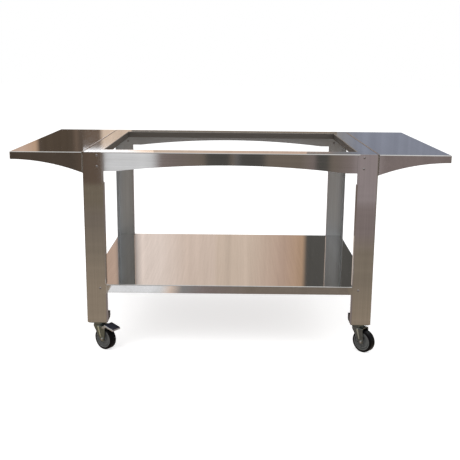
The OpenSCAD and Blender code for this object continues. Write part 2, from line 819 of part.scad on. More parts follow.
module front_left_leg() { color(STEEL) at_corner(LEFT, FRONT) leg(); }
module front_right_leg() { color(STEEL) at_corner(RIGHT, FRONT) leg(); }
module back_left_leg() { color(STEEL) at_corner(LEFT, BACK) leg(); }
module back_right_leg() { color(STEEL) at_corner(RIGHT, BACK) leg(); }
module front_apron() { color(BRIGHT) at_end(FRONT) apron(); }
module back_apron() { color(BRIGHT) at_end(BACK) apron(); }
module left_side_rail() { color(STEEL) at_side(LEFT) side_rail(); }
module right_side_rail() { color(STEEL) at_side(RIGHT) side_rail(); }
module left_side_shelf() { color(STEEL) at_side(LEFT) side_shelf(); }
module right_side_shelf() { color(STEEL) at_side(RIGHT) side_shelf(); }
module lower_shelf() { color(BRIGHT) lower_shelf_body(); }
module left_shelf_channel() { color(STEEL) at_side(LEFT) shelf_channel(); }
module right_shelf_channel() { color(STEEL) at_side(RIGHT) shelf_channel(); }
module lower_shelf_front_channel() { color(STEEL) lower_channel(FRONT); }
module lower_shelf_back_channel() { color(STEEL) lower_channel(BACK); }

module apron_bolts() {
    color(BRIGHT) for (side = SIDES, end = ENDS, z = deck_bolt_z)
        at_corner(side, end) at_face_bolt(z) frame_bolt(0);
}

module apron_nuts() {
    color(BRIGHT) for (side = SIDES, end = ENDS, z = deck_bolt_z)
        at_corner(side, end) at_face_bolt(z) frame_nut();
}

module side_shelf_bolts() {
    color(BRIGHT) for (side = SIDES, end = ENDS, z = deck_bolt_z)
        at_corner(side, end) at_side_bolt(z) frame_bolt(panel_sheet);
}

module side_shelf_nuts() {
    color(BRIGHT) for (side = SIDES, end = ENDS, z = deck_bolt_z)
        at_corner(side, end) at_side_bolt(z) frame_nut();
}

module lower_shelf_bolts() {
    color(BRIGHT) for (side = SIDES, end = ENDS) at_corner(side, end) {
        at_face_bolt(low_bolt_z) frame_bolt(0);
        at_side_bolt(low_bolt_z) frame_bolt(0);
    }
}

module lower_shelf_nuts() {
    color(BRIGHT) for (side = SIDES, end = ENDS) at_corner(side, end) {
        at_face_bolt(low_bolt_z) frame_nut();
        at_side_bolt(low_bolt_z) frame_nut();
    }
}

module front_left_foot_bracket() { color(BLACK) at_corner(LEFT, FRONT) foot_bracket(); }
module front_right_foot_bracket() { color(BLACK) at_corner(RIGHT, FRONT) foot_bracket(); }
module back_left_foot_bracket() { color(BLACK) at_corner(LEFT, BACK) foot_bracket(); }
module back_right_foot_bracket() { color(BLACK) at_corner(RIGHT, BACK) foot_bracket(); }

module caster_bolts() {
    color(ZINC) for (side = SIDES, end = ENDS) at_caster(side, end) plate_bolts();
}

module caster_nuts() {
    color(ZINC) for (side = SIDES, end = ENDS) at_caster(side, end) plate_nuts();
}

module front_left_caster_plate() { color(ZINC) at_caster(LEFT, FRONT) caster_plate(); }
module front_right_caster_plate() { color(ZINC) at_caster(RIGHT, FRONT) caster_plate(); }
module back_left_caster_plate() { color(ZINC) at_caster(LEFT, BACK) caster_plate(); }
module back_right_caster_plate() { color(ZINC) at_caster(RIGHT, BACK) caster_plate(); }
module front_left_king_pin() { color(ZINC) at_caster(LEFT, FRONT) king_pin(); }
module front_right_king_pin() { color(ZINC) at_caster(RIGHT, FRONT) king_pin(); }
module back_left_king_pin() { color(ZINC) at_caster(LEFT, BACK) king_pin(); }
module back_right_king_pin() { color(ZINC) at_caster(RIGHT, BACK) king_pin(); }
module front_left_fork() { color(ZINC) at_swivel(LEFT, FRONT) fork(true); }
module front_right_fork() { color(ZINC) at_swivel(RIGHT, FRONT) fork(false); }
module back_left_fork() { color(ZINC) at_swivel(LEFT, BACK) fork(false); }
module back_right_fork() { color(ZINC) at_swivel(RIGHT, BACK) fork(false); }
module front_left_axle() { color(BRIGHT) at_swivel(LEFT, FRONT) axle(); }
module front_right_axle() { color(BRIGHT) at_swivel(RIGHT, FRONT) axle(); }
module back_left_axle() { color(BRIGHT) at_swivel(LEFT, BACK) axle(); }
module back_right_axle() { color(BRIGHT) at_swivel(RIGHT, BACK) axle(); }
module front_left_wheel() { color(GREY) at_swivel(LEFT, FRONT) wheel(); }
module front_right_wheel() { color(GREY) at_swivel(RIGHT, FRONT) wheel(); }
module back_left_wheel() { color(GREY) at_swivel(LEFT, BACK) wheel(); }
module back_right_wheel() { color(GREY) at_swivel(RIGHT, BACK) wheel(); }
module front_left_tyre() { color(BLACK) at_swivel(LEFT, FRONT) tyre(); }
module front_right_tyre() { color(BLACK) at_swivel(RIGHT, FRONT) tyre(); }
module back_left_tyre() { color(BLACK) at_swivel(LEFT, BACK) tyre(); }
module back_right_tyre() { color(BLACK) at_swivel(RIGHT, BACK) tyre(); }

module front_left_brake_pedal() { color(BRIGHT) at_swivel(LEFT, FRONT) brake_pedal(); }
module front_left_pedal_tread() { color(BLACK) at_swivel(LEFT, FRONT) pedal_tread(); }
module front_left_brake_pin() { color(ZINC) at_swivel(LEFT, FRONT) brake_pin(); }

front_left_leg();
front_right_leg();
back_left_leg();
back_right_leg();
front_apron();
back_apron();
left_side_rail();
right_side_rail();
left_side_shelf();
right_side_shelf();
lower_shelf();
left_shelf_channel();
right_shelf_channel();
lower_shelf_front_channel();
lower_shelf_back_channel();
apron_bolts();
apron_nuts();
side_shelf_bolts();
side_shelf_nuts();
lower_shelf_bolts();
lower_shelf_nuts();
front_left_foot_bracket();
front_right_foot_bracket();
back_left_foot_bracket();
back_right_foot_bracket();
caster_bolts();
caster_nuts();
front_left_caster_plate();
front_right_caster_plate();
back_left_caster_plate();
back_right_caster_plate();
front_left_king_pin();
front_right_king_pin();
back_left_king_pin();
back_right_king_pin();
front_left_fork();
front_right_fork();
back_left_fork();
back_right_fork();
front_left_axle();
front_right_axle();
back_left_axle();
back_right_axle();
front_left_wheel();
front_right_wheel();
back_left_wheel();
back_right_wheel();
front_left_tyre();
front_right_tyre();
back_left_tyre();
back_right_tyre();
front_left_brake_pedal();
front_left_pedal_tread();
front_left_brake_pin();
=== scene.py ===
"""Dresses the pizza oven cart: brushed stainless sheet, bolts and nuts, casters, and the stage."""

import json
import math

import bmesh
import bpy
from bpy.props import FloatProperty, FloatVectorProperty, PointerProperty
from bpy.types import Operator, Panel, PropertyGroup
from mathutils import Matrix, Vector


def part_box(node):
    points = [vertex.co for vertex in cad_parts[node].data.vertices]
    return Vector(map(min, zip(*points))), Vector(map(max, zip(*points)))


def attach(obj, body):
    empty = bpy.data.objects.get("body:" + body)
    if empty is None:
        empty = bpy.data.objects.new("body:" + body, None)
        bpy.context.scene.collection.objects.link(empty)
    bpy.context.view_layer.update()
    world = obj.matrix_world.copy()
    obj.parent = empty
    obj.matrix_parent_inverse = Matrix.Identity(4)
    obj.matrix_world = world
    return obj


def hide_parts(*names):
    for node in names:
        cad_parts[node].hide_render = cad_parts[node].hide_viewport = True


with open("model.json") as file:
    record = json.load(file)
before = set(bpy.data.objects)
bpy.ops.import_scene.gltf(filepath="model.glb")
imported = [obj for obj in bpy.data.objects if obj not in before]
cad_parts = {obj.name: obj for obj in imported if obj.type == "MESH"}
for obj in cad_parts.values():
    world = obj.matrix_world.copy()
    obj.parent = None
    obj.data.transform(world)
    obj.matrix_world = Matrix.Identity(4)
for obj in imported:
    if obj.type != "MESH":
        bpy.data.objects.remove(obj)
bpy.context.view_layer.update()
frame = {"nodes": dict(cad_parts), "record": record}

bl_info = {
    "name": "Oven Cart Finish",
    "version": (1, 0, 0),
    "blender": (4, 5, 0),
    "location": "3D View > Sidebar > Oven Cart",
    "description": "Finishes, fasteners and stage for a stainless steel pizza oven cart",
    "category": "Object",
}

BEHAVIOUR = frame["record"]["behaviour"]
JOINTS = {joint["name"]: joint for joint in BEHAVIOUR["joints"]}
BODY_OF = {node: body for body, nodes in BEHAVIOUR["bodies"].items() for node in nodes}
CORNERS = ("front_left", "front_right", "back_left", "back_right")
BRAKED_CORNER = "front_left"


# Settings

def tone(red, green, blue):
    """A colour given as it looks on screen, 0 to 255, in the linear values that a shader takes."""
    def linear(level):
        level /= 255
        return level / 12.92 if level <= 0.04045 else ((level + 0.055) / 1.055) ** 2.4
    return linear(red), linear(green), linear(blue)


def colour(name, description, *screen):
    """A colour setting, its default given as it looks on screen."""
    return FloatVectorProperty(
        name=name, description=description, default=tone(*screen), size=3, min=0, max=1, subtype="COLOR")


def length(name, description, metres):
    return FloatProperty(
        name=name, description=description, default=metres, min=0, subtype="DISTANCE", unit="LENGTH")


def fraction(name, description, default):
    return FloatProperty(name=name, description=description, default=default, min=0, max=1)


def turn_of(name, description, degrees):
    """A setting for an angle, its default given in degrees."""
    return FloatProperty(
        name=name, description=description, default=math.radians(degrees), subtype="ANGLE", unit="ROTATION")


class RoomTones(PropertyGroup):
    """Tones of the screens that stand round the stage for the bright sheet to mirror."""
    chalk: colour("Chalk", "Palest screen", 249, 250, 254)
    ivory: colour("Ivory", "Warm white screen", 252, 235, 225)
    cream: colour("Cream", "Lit wall", 235, 214, 200)
    linen: colour("Linen", "Linen wall", 229, 208, 191)
    blush: colour("Blush", "Rosy wall", 220, 198, 178)
    sand: colour("Sand", "Tan wall", 206, 178, 160)
    tan: colour("Tan", "Tan wall in shade", 197, 165, 138)
    lilac: colour("Lilac", "Pale mauve screen", 166, 154, 155)
    khaki: colour("Khaki", "Pale floor boards", 162, 147, 130)
    stone: colour("Stone", "Mid grey screen", 148, 146, 146)
    fawn: colour("Fawn", "Light brown floor", 146, 134, 120)
    mauve: colour("Mauve", "Mauve screen", 146, 133, 131)
    slate: colour("Slate", "Cool grey wall", 141, 145, 159)
    clay: colour("Clay", "Brown floor", 133, 122, 112)
    olive: colour("Olive", "Olive brown screen", 131, 120, 105)
    ash: colour("Ash", "Neutral grey screen", 122, 120, 121)
    umber: colour("Umber", "Dark brown doorway", 110, 94, 82)
    coal: colour("Coal", "Dark grey doorway", 92, 90, 87)
    cocoa: colour("Cocoa", "Dark brown screen", 92, 81, 72)
    bistre: colour("Bistre", "Darkest brown doorway", 85, 73, 62)


class SteelSettings(PropertyGroup):
    """The stainless sheet's surface."""
    steel: colour("Steel", "The sheet's own colour", 208, 207, 205)
    steel_shade: colour("Steel shade", "The sheet's colour where it is handled", 198, 197, 194)
    mill: colour("Mill finish", "The sheet's colour on its unbrushed inner faces", 219, 223, 224)
    # Painted shade: the lips round the opening get a darker colour, as they look in shade; their dullness
    # comes from their roughness.
    lip: colour("Lip", "The dull lips round the deck's opening", 138, 135, 130)
    # Painted shade: a dark line where the side shelves meet the deck, as shade falls in the gap between
    # them.
    seam: colour("Seam", "The darker edges where the side shelves meet the deck", 110, 108, 106)
    roughness: fraction("Roughness", "Roughness of the clean sheet", 0.042)
    mill_roughness: fraction("Mill roughness", "Roughness of the unbrushed inner faces", 0.45)
    streaks: fraction("Streaks", "Contrast of the brushed streaks", 0.05)
    ripple: length("Ripple", "Height of the sheet's slow waviness", 0.00005)


class CasterTones(PropertyGroup):
    """Colours of the casters, their brackets and the fasteners."""
    bright: colour("Bright steel", "Axles and the caster plates' fasteners", 196, 197, 196)
    bolt: colour("Bolt steel", "The frame's bolts and nuts", 176, 172, 172)
    zinc: colour("Zinc plate", "Plated forks, plates and king pins", 134, 142, 137)
    # Painted highlight: the forks' raised ribs are lightened as if they caught the light.
    rib_highlight: colour("Rib highlight", "The forks' ribs, where hands and kerbs rub them bright", 228, 240, 224)
    pedal: colour("Pedal", "The brake pedal's plating", 226, 229, 232)
    tread: colour("Pedal tread", "The ribbed tread on the pedal", 34, 39, 52)
    disc: colour("Disc", "The wheels' grey discs", 95, 96, 95)
    rubber: colour("Tyre rubber", "The tyres", 9, 9, 11)
    paint: colour("Black paint", "The foot brackets", 30, 30, 31)


class HardwareSizes(PropertyGroup):
    """Sizes of the fasteners' details, which the frame's own nodes do not carry."""
    frame_thread: length("Frame thread", "Diameter of the frame bolts' thread", 0.006)
    frame_head: length("Frame head", "Diameter of the frame bolts' domed heads", 0.0105)
    frame_head_height: length("Frame head height", "Height of the frame bolts' domed heads", 0.0033)
    frame_socket: length("Frame socket", "Hex socket of the frame bolts, across flats", 0.004)
    frame_pitch: length("Frame pitch", "Pitch of the frame bolts' thread", 0.001)
    frame_nut: length("Frame nut", "Frame nuts, across flats", 0.010)
    plate_thread: length("Plate thread", "Diameter of the caster plate bolts' thread", 0.008)
    plate_head: length("Plate head", "Diameter of the caster plate bolts' domed heads", 0.014)
    plate_head_height: length("Plate head height", "Height of the caster plate bolts' heads", 0.0044)
    plate_socket: length("Plate socket", "Hex socket of the caster plate bolts, across flats", 0.005)
    plate_pitch: length("Plate pitch", "Pitch of the caster plate bolts' thread", 0.00125)
    plate_nut: length("Plate nut", "Caster plate nuts, across flats", 0.013)
    axle_flats: length("Axle head", "Axle bolt's head and nut, across flats", 0.013)
    axle_thread: length("Axle thread", "Diameter of the axle bolt", 0.008)
    axle_head: length("Axle head height", "Height of the axle bolt's head", 0.0055)


class StageSettings(PropertyGroup):
    """Camera and floor."""
    camera_lens: FloatProperty(
        name="Lens", description="Focal length on a 36 mm sensor", default=60.37, min=1)
    camera_right: FloatProperty(
        name="Camera right", description="How far right of the cart's middle the camera stands",
        default=0.0084, subtype="DISTANCE", unit="LENGTH")
    camera_away: length("Camera away", "How far in front of the front legs the camera stands", 3.2844)
    camera_height: length("Camera height", "How high the camera stands", 1.3079)
    camera_pitch: turn_of("Camera pitch", "How far the camera looks down", 12.75)
    camera_yaw: turn_of("Camera yaw", "How far the camera looks to the right", -0.13)
    camera_roll: turn_of("Camera roll", "How far the camera leans", 0.54)
    floor_colour: colour("Floor", "Colour of the floor and backdrop", 238, 238, 238)
    floor_reach: length("Floor reach", "Half the width of the floor", 30.0)


# Modelling by hand

# Edges flatter than this are shaded smooth.
SMOOTH_BELOW = math.radians(35)
# How squarely a face must look upwards to be a top, and how close to a height it must lie.
LOOKS_UP, AT_HEIGHT = 0.99, 1e-6


def deselect_all():
    if bpy.context.object and bpy.context.object.mode != "OBJECT":
        bpy.ops.object.mode_set(mode="OBJECT")
    bpy.ops.object.select_all(action="DESELECT")


def take(*things):
    """Selects the things, the first of them active."""
    deselect_all()
    for thing in things:
        thing.select_set(True)
    bpy.context.view_layer.objects.active = things[0]


def pick_faces(thing, wanted):
    """In edit mode, selects the faces for which wanted(face) holds."""
    bpy.ops.mesh.select_mode(type="FACE")
    bpy.ops.mesh.select_all(action="DESELECT")
    mesh = bmesh.from_edit_mesh(thing.data)
    for face in mesh.faces:
        face.select_set(wanted(face))
    bmesh.update_edit_mesh(thing.data)


def turned(name, rings, sides=32):
    """A round solid about Z, drawn out ring by ring: each ring is (height, radius), from low to high."""
    (low, first), (high, second), *others = rings
    deselect_all()
    bpy.ops.mesh.primitive_cone_add(
        vertices=sides, radius1=first, radius2=second, depth=high - low, location=(0, 0, (low + high) / 2))
    solid = bpy.context.object
    solid.name = name
    bpy.ops.object.transform_apply(location=True, rotation=False, scale=False)
    bpy.ops.object.mode_set(mode="EDIT")
    pick_faces(solid, lambda face: (
        face.normal.z > LOOKS_UP and face.calc_center_median().z > high - AT_HEIGHT))
    height, radius = high, second
    for next_height, next_radius in others:
        bpy.ops.mesh.extrude_region_move(TRANSFORM_OT_translate={"value": (0, 0, next_height - height)})
        share = next_radius / radius
        bpy.ops.transform.resize(value=(share, share, 1), center_override=(0, 0, 0))
        height, radius = next_height, next_radius
    bpy.ops.object.mode_set(mode="OBJECT")
    return solid


def hexagon(radius, depth, middle):
    """A six-sided bar about Z: its radius to its corners, its height, and the height of its middle."""
    deselect_all()
    bpy.ops.mesh.primitive_cylinder_add(vertices=6, radius=radius, depth=depth, location=(0, 0, middle))
    return bpy.context.object


def cut_with(solid, cutter, operation="DIFFERENCE"):
    """Cuts the solid with the cutter, or joins or intersects them, and clears the cutter away."""
    take(solid)
    change = solid.modifiers.new("cut", "BOOLEAN")
    change.operation = operation
    change.solver = "EXACT"
    change.object = cutter
    bpy.ops.object.modifier_apply(modifier=change.name)
    bpy.data.objects.remove(cutter, do_unlink=True)
    return solid


def over_corners(flats):
    """A hexagon's width over its corners, from its width across flats."""
    return flats / math.cos(math.radians(30))


def copies(master, places):
    """Copies the master to each (place, direction), each copy with its own mesh, and joins them."""
    made = []
    for place, direction in places:
        take(master)
        bpy.ops.object.duplicate(linked=False)
        copy = bpy.context.object
        turn = Vector(direction).to_track_quat("Z", "Y").to_matrix().to_4x4()
        copy.matrix_world = Matrix.Translation(place) @ turn
        bpy.ops.object.transform_apply(location=True, rotation=True, scale=True)
        made.append(copy)
    bpy.data.objects.remove(master, do_unlink=True)
    take(*made)
    if len(made) > 1:
        bpy.ops.object.join()
    return bpy.context.object


def finish_piece(piece, name, material, node):
    """Names a modelled piece, gives it its finish, and lets it stand for its node."""
    take(piece)
    piece.name = name
    piece.data.name = name
    piece.data.materials.clear()
    piece.data.materials.append(material)
    bpy.ops.object.shade_smooth_by_angle(angle=SMOOTH_BELOW)
    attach(piece, BODY_OF[node])
    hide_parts(node)


def paint(node, material):
    """Gives a node of the frame its finish."""
    mesh = frame["nodes"][node].data
    mesh.materials.clear()
    mesh.materials.append(material)


# Wiring of materials

class Tree:
    """Shorthand for wiring a material's or a group's nodes."""

    def __init__(self, node_tree):
        self.nodes = node_tree.nodes
        self.links = node_tree.links

    def add(self, kind, settings=None, **inputs):
        """Adds a node; inputs are given by name, with _ for a space, or as in0, in1 and so on."""
        node = self.nodes.new("ShaderNode" + kind)
        for key, value in (settings or {}).items():
            setattr(node, key, value)
        for key, value in inputs.items():
            self.plug(node, key.replace("_", " "), value)
        return node

    def plug(self, node, key, value):
        """Links an output to a node's input, or sets the input's value."""
        numbered = key.startswith("in") and key[2:].isdigit()
        socket = node.inputs[int(key[2:])] if numbered else node.inputs[key]
        if isinstance(value, bpy.types.NodeSocket):
            self.links.new(value, socket)
        else:
            socket.default_value = value

    def math(self, operation, first, second=0.0, third=0.0, clamp=False):
        settings = {"operation": operation, "use_clamp": clamp}
        return self.add("Math", settings, in0=first, in1=second, in2=third).outputs[0]

    def mix(self, share, first, second, blend="MIX"):
        """Mixes two colours."""
        node = self.add("Mix", {"data_type": "RGBA", "blend_type": blend})
        for key, value in (("in0", share), ("in6", first), ("in7", second)):
            self.plug(node, key, value)
        return node.outputs[2]

    def remap(self, value, low, high, to_low=0.0, to_high=1.0):
        """Stretches the range from low to high onto another, and stops at its ends."""
        node = self.add("MapRange", Value=value)
        for index, bound in enumerate((low, high, to_low, to_high), 1):
            self.plug(node, f"in{index}", bound)
        return node.outputs[0]

    def bands(self, value, stops):
        """A colour ramp whose stops are (place, colour) in the value's own units."""
        low, high = stops[0][0], stops[-1][0]
        ramp = self.add("ValToRGB", Fac=self.remap(value, low, high))
        points = ramp.color_ramp.elements
        points[1].position = 1.0
        for place, shade in stops[1:-1]:
            points.new((place - low) / (high - low))
        for point, (place, shade) in zip(points, stops):
            point.color = (*shade[:3], 1.0)
        return ramp.outputs[0]


def new_material(name):
    material = bpy.data.materials.new(name)
    material.use_nodes = True
    return material, Tree(material.node_tree), material.node_tree.nodes["Principled BSDF"]


def new_group(name, inputs, outputs):
    """A shader group whose inputs and outputs are given as label: kind of socket."""
    group = bpy.data.node_groups.new(name, "ShaderNodeTree")
    for side, sockets in (("INPUT", inputs), ("OUTPUT", outputs)):
        for label, kind in sockets.items():
            group.interface.new_socket(name=label, in_out=side, socket_type="NodeSocket" + kind)
    tree = Tree(group)
    return group, tree, tree.nodes.new("NodeGroupInput"), tree.nodes.new("NodeGroupOutput")


# Noise mostly stays between these two levels.
NOISE_RANGE = (0.3, 0.7)


# The stainless sheet

# Streaks run along the named axis: few changes to the metre along it, many across it.
STREAKS = {"X": (3.0, 160.0, 160.0), "Y": (160.0, 3.0, 160.0), "Z": (160.0, 160.0, 3.0)}
STREAK_NOISE = {"Scale": 1.0, "Detail": 4.0, "Roughness": 0.65}
SMUDGE_NOISE = {"Scale": 0.07, "Detail": 3.0, "Roughness": 0.55}
RIPPLE_NOISE = {"Scale": 2.3, "Detail": 1.0, "Roughness": 0.4}
# The levels of smudge noise where a smudge begins and where it is full.
SMUDGE_EDGES = (0.45, 0.7)
# What streaks and smudges add to the roughness, and how deep the streaks are.
STREAK_ROUGHNESS, SMUDGE_ROUGHNESS, STREAK_DEPTH = 0.008, 0.015, 0.0000006
# How far a face's normal leans inwards where the face begins to be an inner one, and where it is one.
LEANS_IN = (-0.1, -0.3)
# The lips round the deck's opening stand just inside these distances from the middle, above this height.
LIP_X, LIP_Y, LIP_FOOT = 0.5585, 0.4115, 0.86
MIDDLE_Y = (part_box("front_apron")[0][1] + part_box("back_apron")[1][1]) / 2
# The seams between the side shelves and the deck, and the heights between which their painted shade comes
# in.
SEAM_X, SEAM_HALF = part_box("front_right_leg")[1][0], 0.0035
SEAM_FOOT, SEAM_TOP = 0.892, 0.896
SHEETS_ALONG = {
    "X": ("front_apron", "back_apron", "lower_shelf_front_channel", "lower_shelf_back_channel"),
    "Y": ("lower_shelf", "left_side_shelf", "right_side_shelf", "left_side_rail", "right_side_rail",
          "left_shelf_channel", "right_shelf_channel"),
    "Z": ("front_left_leg", "front_right_leg", "back_left_leg", "back_right_leg"),
}


def grain_group():
    """Brushed grain: fine streaks along one axis, wiped smudges over them, and the sheet's slow ripple."""
    group, tree, given, result = new_group(
        "brushed grain",
        {"Coordinates": "Vector", "Streaks": "Vector", "Contrast": "Float", "Ripple": "Float"},
        {"Shade": "Float", "Handled": "Float", "Roughness": "Float", "Height": "Float"})
    place, stretch, contrast, ripple = given.outputs[:4]
    stretched = tree.add("VectorMath", {"operation": "MULTIPLY"}, in0=place, in1=stretch)
    streaks = tree.add("TexNoise", Vector=stretched.outputs[0], **STREAK_NOISE)
    smudge = tree.add("TexNoise", Vector=stretched.outputs[0], **SMUDGE_NOISE)
    slow = tree.add("TexNoise", Vector=place, **RIPPLE_NOISE)
    drawn = tree.remap(streaks.outputs[0], *NOISE_RANGE, -1.0, 1.0)
    handled = tree.remap(smudge.outputs[0], *SMUDGE_EDGES)
    tree.plug(result, "Shade", tree.math("MULTIPLY_ADD", drawn, contrast, 1.0))
    tree.plug(result, "Handled", handled)
    from_streaks = tree.math("MULTIPLY", drawn, STREAK_ROUGHNESS)
    from_smudges = tree.math("MULTIPLY", handled, SMUDGE_ROUGHNESS)
    tree.plug(result, "Roughness", tree.math("ADD", from_streaks, from_smudges))
    fine = tree.math("MULTIPLY", streaks.outputs[0], STREAK_DEPTH)
    broad = tree.math("MULTIPLY", slow.outputs[0], ripple)
    tree.plug(result, "Height", tree.math("ADD", fine, broad))
    return group


def sheet_place_group():
    """Where a sheet isn't brushed, its inner faces and the opening's lips, and where shade is painted: on
    the lips and along the shelves' seams.
    """
    group, tree, given, result = new_group(
        "places on the sheet", {"Coordinates": "Vector", "Normal": "Vector"},
        {"Inner": "Float", "Lip": "Float", "Seam": "Float"})
    place = tree.add("SeparateXYZ", Vector=given.outputs[0])
    facing = tree.add("SeparateXYZ", Vector=given.outputs[1])
    inward = facing.outputs[2]
    lip = tree.math("GREATER_THAN", place.outputs[2], LIP_FOOT)
    for axis, middle, within in ((0, 0.0, LIP_X), (1, MIDDLE_Y, LIP_Y)):
        offset = tree.math("SUBTRACT", place.outputs[axis], middle)
        beyond = tree.math("GREATER_THAN", tree.math("ABSOLUTE", offset), within)
        outward = tree.math("MULTIPLY", facing.outputs[axis], tree.math("SIGN", offset))
        inward = tree.math("ADD", inward, tree.math("MULTIPLY", outward, beyond))
        lip = tree.math("MULTIPLY", lip, tree.math("SUBTRACT", 1.0, beyond))
    tree.plug(result, "Lip", lip)
    tree.plug(result, "Inner", tree.remap(inward, *LEANS_IN))
    # Painted shade along the seams between the side shelves and the deck.
    from_middle = tree.math("ABSOLUTE", place.outputs[0])
    from_seam = tree.math("ABSOLUTE", tree.math("SUBTRACT", from_middle, SEAM_X))
    across = tree.remap(from_seam, SEAM_HALF, SEAM_HALF / 2)
    upward = tree.remap(place.outputs[2], SEAM_FOOT, SEAM_TOP)
    tree.plug(result, "Seam", tree.math("MULTIPLY", across, upward))
    return group


class CART_OT_sheet_finish(Operator):
    """Gives every folded sheet its brushed stainless finish"""
    bl_idname = "cart.sheet_finish"
    bl_label = "Sheet finish"

    def execute(self, context):
        grain, places = grain_group(), sheet_place_group()
        for axis, nodes in SHEETS_ALONG.items():
            material = self.brushed(axis, grain, places, context.scene.cart_steel)
            for node in nodes:
                paint(node, material)
        return {"FINISHED"}

    def brushed(self, axis, grain_nodes, place_nodes, steel):
        """Stainless sheet with its grain along one axis."""
        material, tree, shader = new_material("stainless brushed along " + axis)
        coordinates = tree.add("TexCoord")
        place = coordinates.outputs["Object"]
        where = tree.add("Group", {"node_tree": place_nodes}, Coordinates=place,
                         Normal=coordinates.outputs["Normal"])
        inner, lip, seam = where.outputs[:3]
        grain = tree.add("Group", {"node_tree": grain_nodes}, Coordinates=place,
                         Streaks=STREAKS[axis], Contrast=steel.streaks, Ripple=steel.ripple)
        sheet = tree.mix(grain.outputs["Handled"], (*steel.steel, 1.0), (*steel.steel_shade, 1.0))
        # Mixes in the mill finish, then the painted shade on the lips and along the seams.
        for mask, shade in ((inner, steel.mill), (lip, steel.lip), (seam, steel.seam)):
            sheet = tree.mix(mask, sheet, (*shade, 1.0))
        tree.plug(shader, "Base Color", tree.mix(1.0, sheet, grain.outputs["Shade"], "MULTIPLY"))
        unbrushed = tree.math("MAXIMUM", inner, lip)
        dulled = tree.remap(unbrushed, 0.0, 1.0, steel.roughness, steel.mill_roughness)
        tree.plug(shader, "Roughness", tree.math("ADD", grain.outputs["Roughness"], dulled, clamp=True))
        bump = tree.add("Bump", Strength=1.0, Distance=1.0, Height=grain.outputs["Height"])
        tree.plug(shader, "Normal", bump.outputs[0])
        tree.plug(shader, "Metallic", 1.0)
        return material


# Plated, moulded, painted and rubber pieces

CLOUD_NOISE = {"Detail": 5.0, "Roughness": 0.6}
# The levels of cloud noise at which a cloud is darkest and lightest, and how far it sways the roughness.
CLOUD_EDGES, CLOUD_SPREAD = (0.32, 0.68), 0.06
# How much finer the specks are than the clouds, their detail, and how far they stand out.
SPECK_FINENESS, SPECK_DETAIL, SPECK_HEIGHT = 14.0, 2.0, 0.0002
# How far the highest rib stands above the arm's face, and how far below its crest the painted highlight
# reaches.
RIB_RISE, RIB_HIGHLIGHT_REACH = 0.0027, 0.0021
# The arms reach this far above the axle, and the fork's crown begins there.
ARM_RISE = 0.06
# Each finish: its setting's name, its roughness, and what departs from the usual clouding.
ZINC = {"setting": "zinc", "roughness": 0.2, "metallic": 1.0}
FINISHES = {
    "bright steel": {"setting": "bright", "roughness": 0.22, "metallic": 1.0, "contrast": 0.08},
    "bolt steel": {"setting": "bolt", "roughness": 0.4, "metallic": 1.0, "contrast": 0.08},
    "zinc plate": ZINC,
    "pedal zinc": {"setting": "pedal", "roughness": 0.38, "metallic": 1.0, "contrast": 0.06},
    "pedal tread": {"setting": "tread", "roughness": 0.35, "coat": 0.3},
    "grey disc": {"setting": "disc", "roughness": 0.42, "contrast": 0.08, "scale": 30.0},
    "tyre rubber": {"setting": "rubber", "roughness": 0.35, "contrast": 0.3, "scale": 45.0,
                    "specular": 0.12},
    "black paint": {"setting": "paint", "roughness": 0.38, "bump": 0.2, "scale": 90.0},
}


def cloud_group():
    """Slight clouding and fine specks, for plated, moulded and painted pieces."""
    group, tree, given, result = new_group(
        "clouding",
        {"Coordinates": "Vector", "Scale": "Float", "Light": "Color", "Dark": "Color",
         "Roughness": "Float", "Spread": "Float"},
        {"Colour": "Color", "Roughness": "Float", "Height": "Float"})
    place, scale, light, dark, rough, spread = given.outputs[:6]
    cloud = tree.add("TexNoise", Vector=place, Scale=scale, **CLOUD_NOISE)
    speck_scale = tree.math("MULTIPLY", scale, SPECK_FINENESS)
    specks = tree.add("TexNoise", Vector=place, Scale=speck_scale, Detail=SPECK_DETAIL)
    share = tree.remap(cloud.outputs[0], *CLOUD_EDGES)
    tree.plug(result, "Colour", tree.mix(share, dark, light))
    offset = tree.math("MULTIPLY", tree.remap(cloud.outputs[0], *NOISE_RANGE, -1.0, 1.0), spread)
    tree.plug(result, "Roughness", tree.math("ADD", rough, offset, clamp=True))
    tree.plug(result, "Height", specks.outputs[0])
    return group


def rib_group():
    """1 on the crests that stand proud of a fork's arms, measured along the wheel's axle, else 0: where the
    ribs get their painted highlight.
    """
    group, tree, given, result = new_group(
        "fork ribs",
        {"Coordinates": "Vector", "Middle": "Vector", "Axle": "Vector", "Crest": "Float", "Top": "Float"},
        {"Rib": "Float"})
    place, middle, axle, crest, top = given.outputs[:5]
    offset = tree.add("VectorMath", {"operation": "SUBTRACT"}, in0=place, in1=middle)
    along = tree.add("VectorMath", {"operation": "DOT_PRODUCT"}, in0=offset.outputs[0], in1=axle)
    reach = tree.math("SUBTRACT", tree.math("ABSOLUTE", along.outputs["Value"]), crest)
    height = tree.add("SeparateXYZ", Vector=place).outputs[2]
    below = tree.math("LESS_THAN", height, top)
    tree.plug(result, "Rib", tree.math("MULTIPLY", tree.remap(reach, -RIB_RISE, -RIB_HIGHLIGHT_REACH), below))
    return group


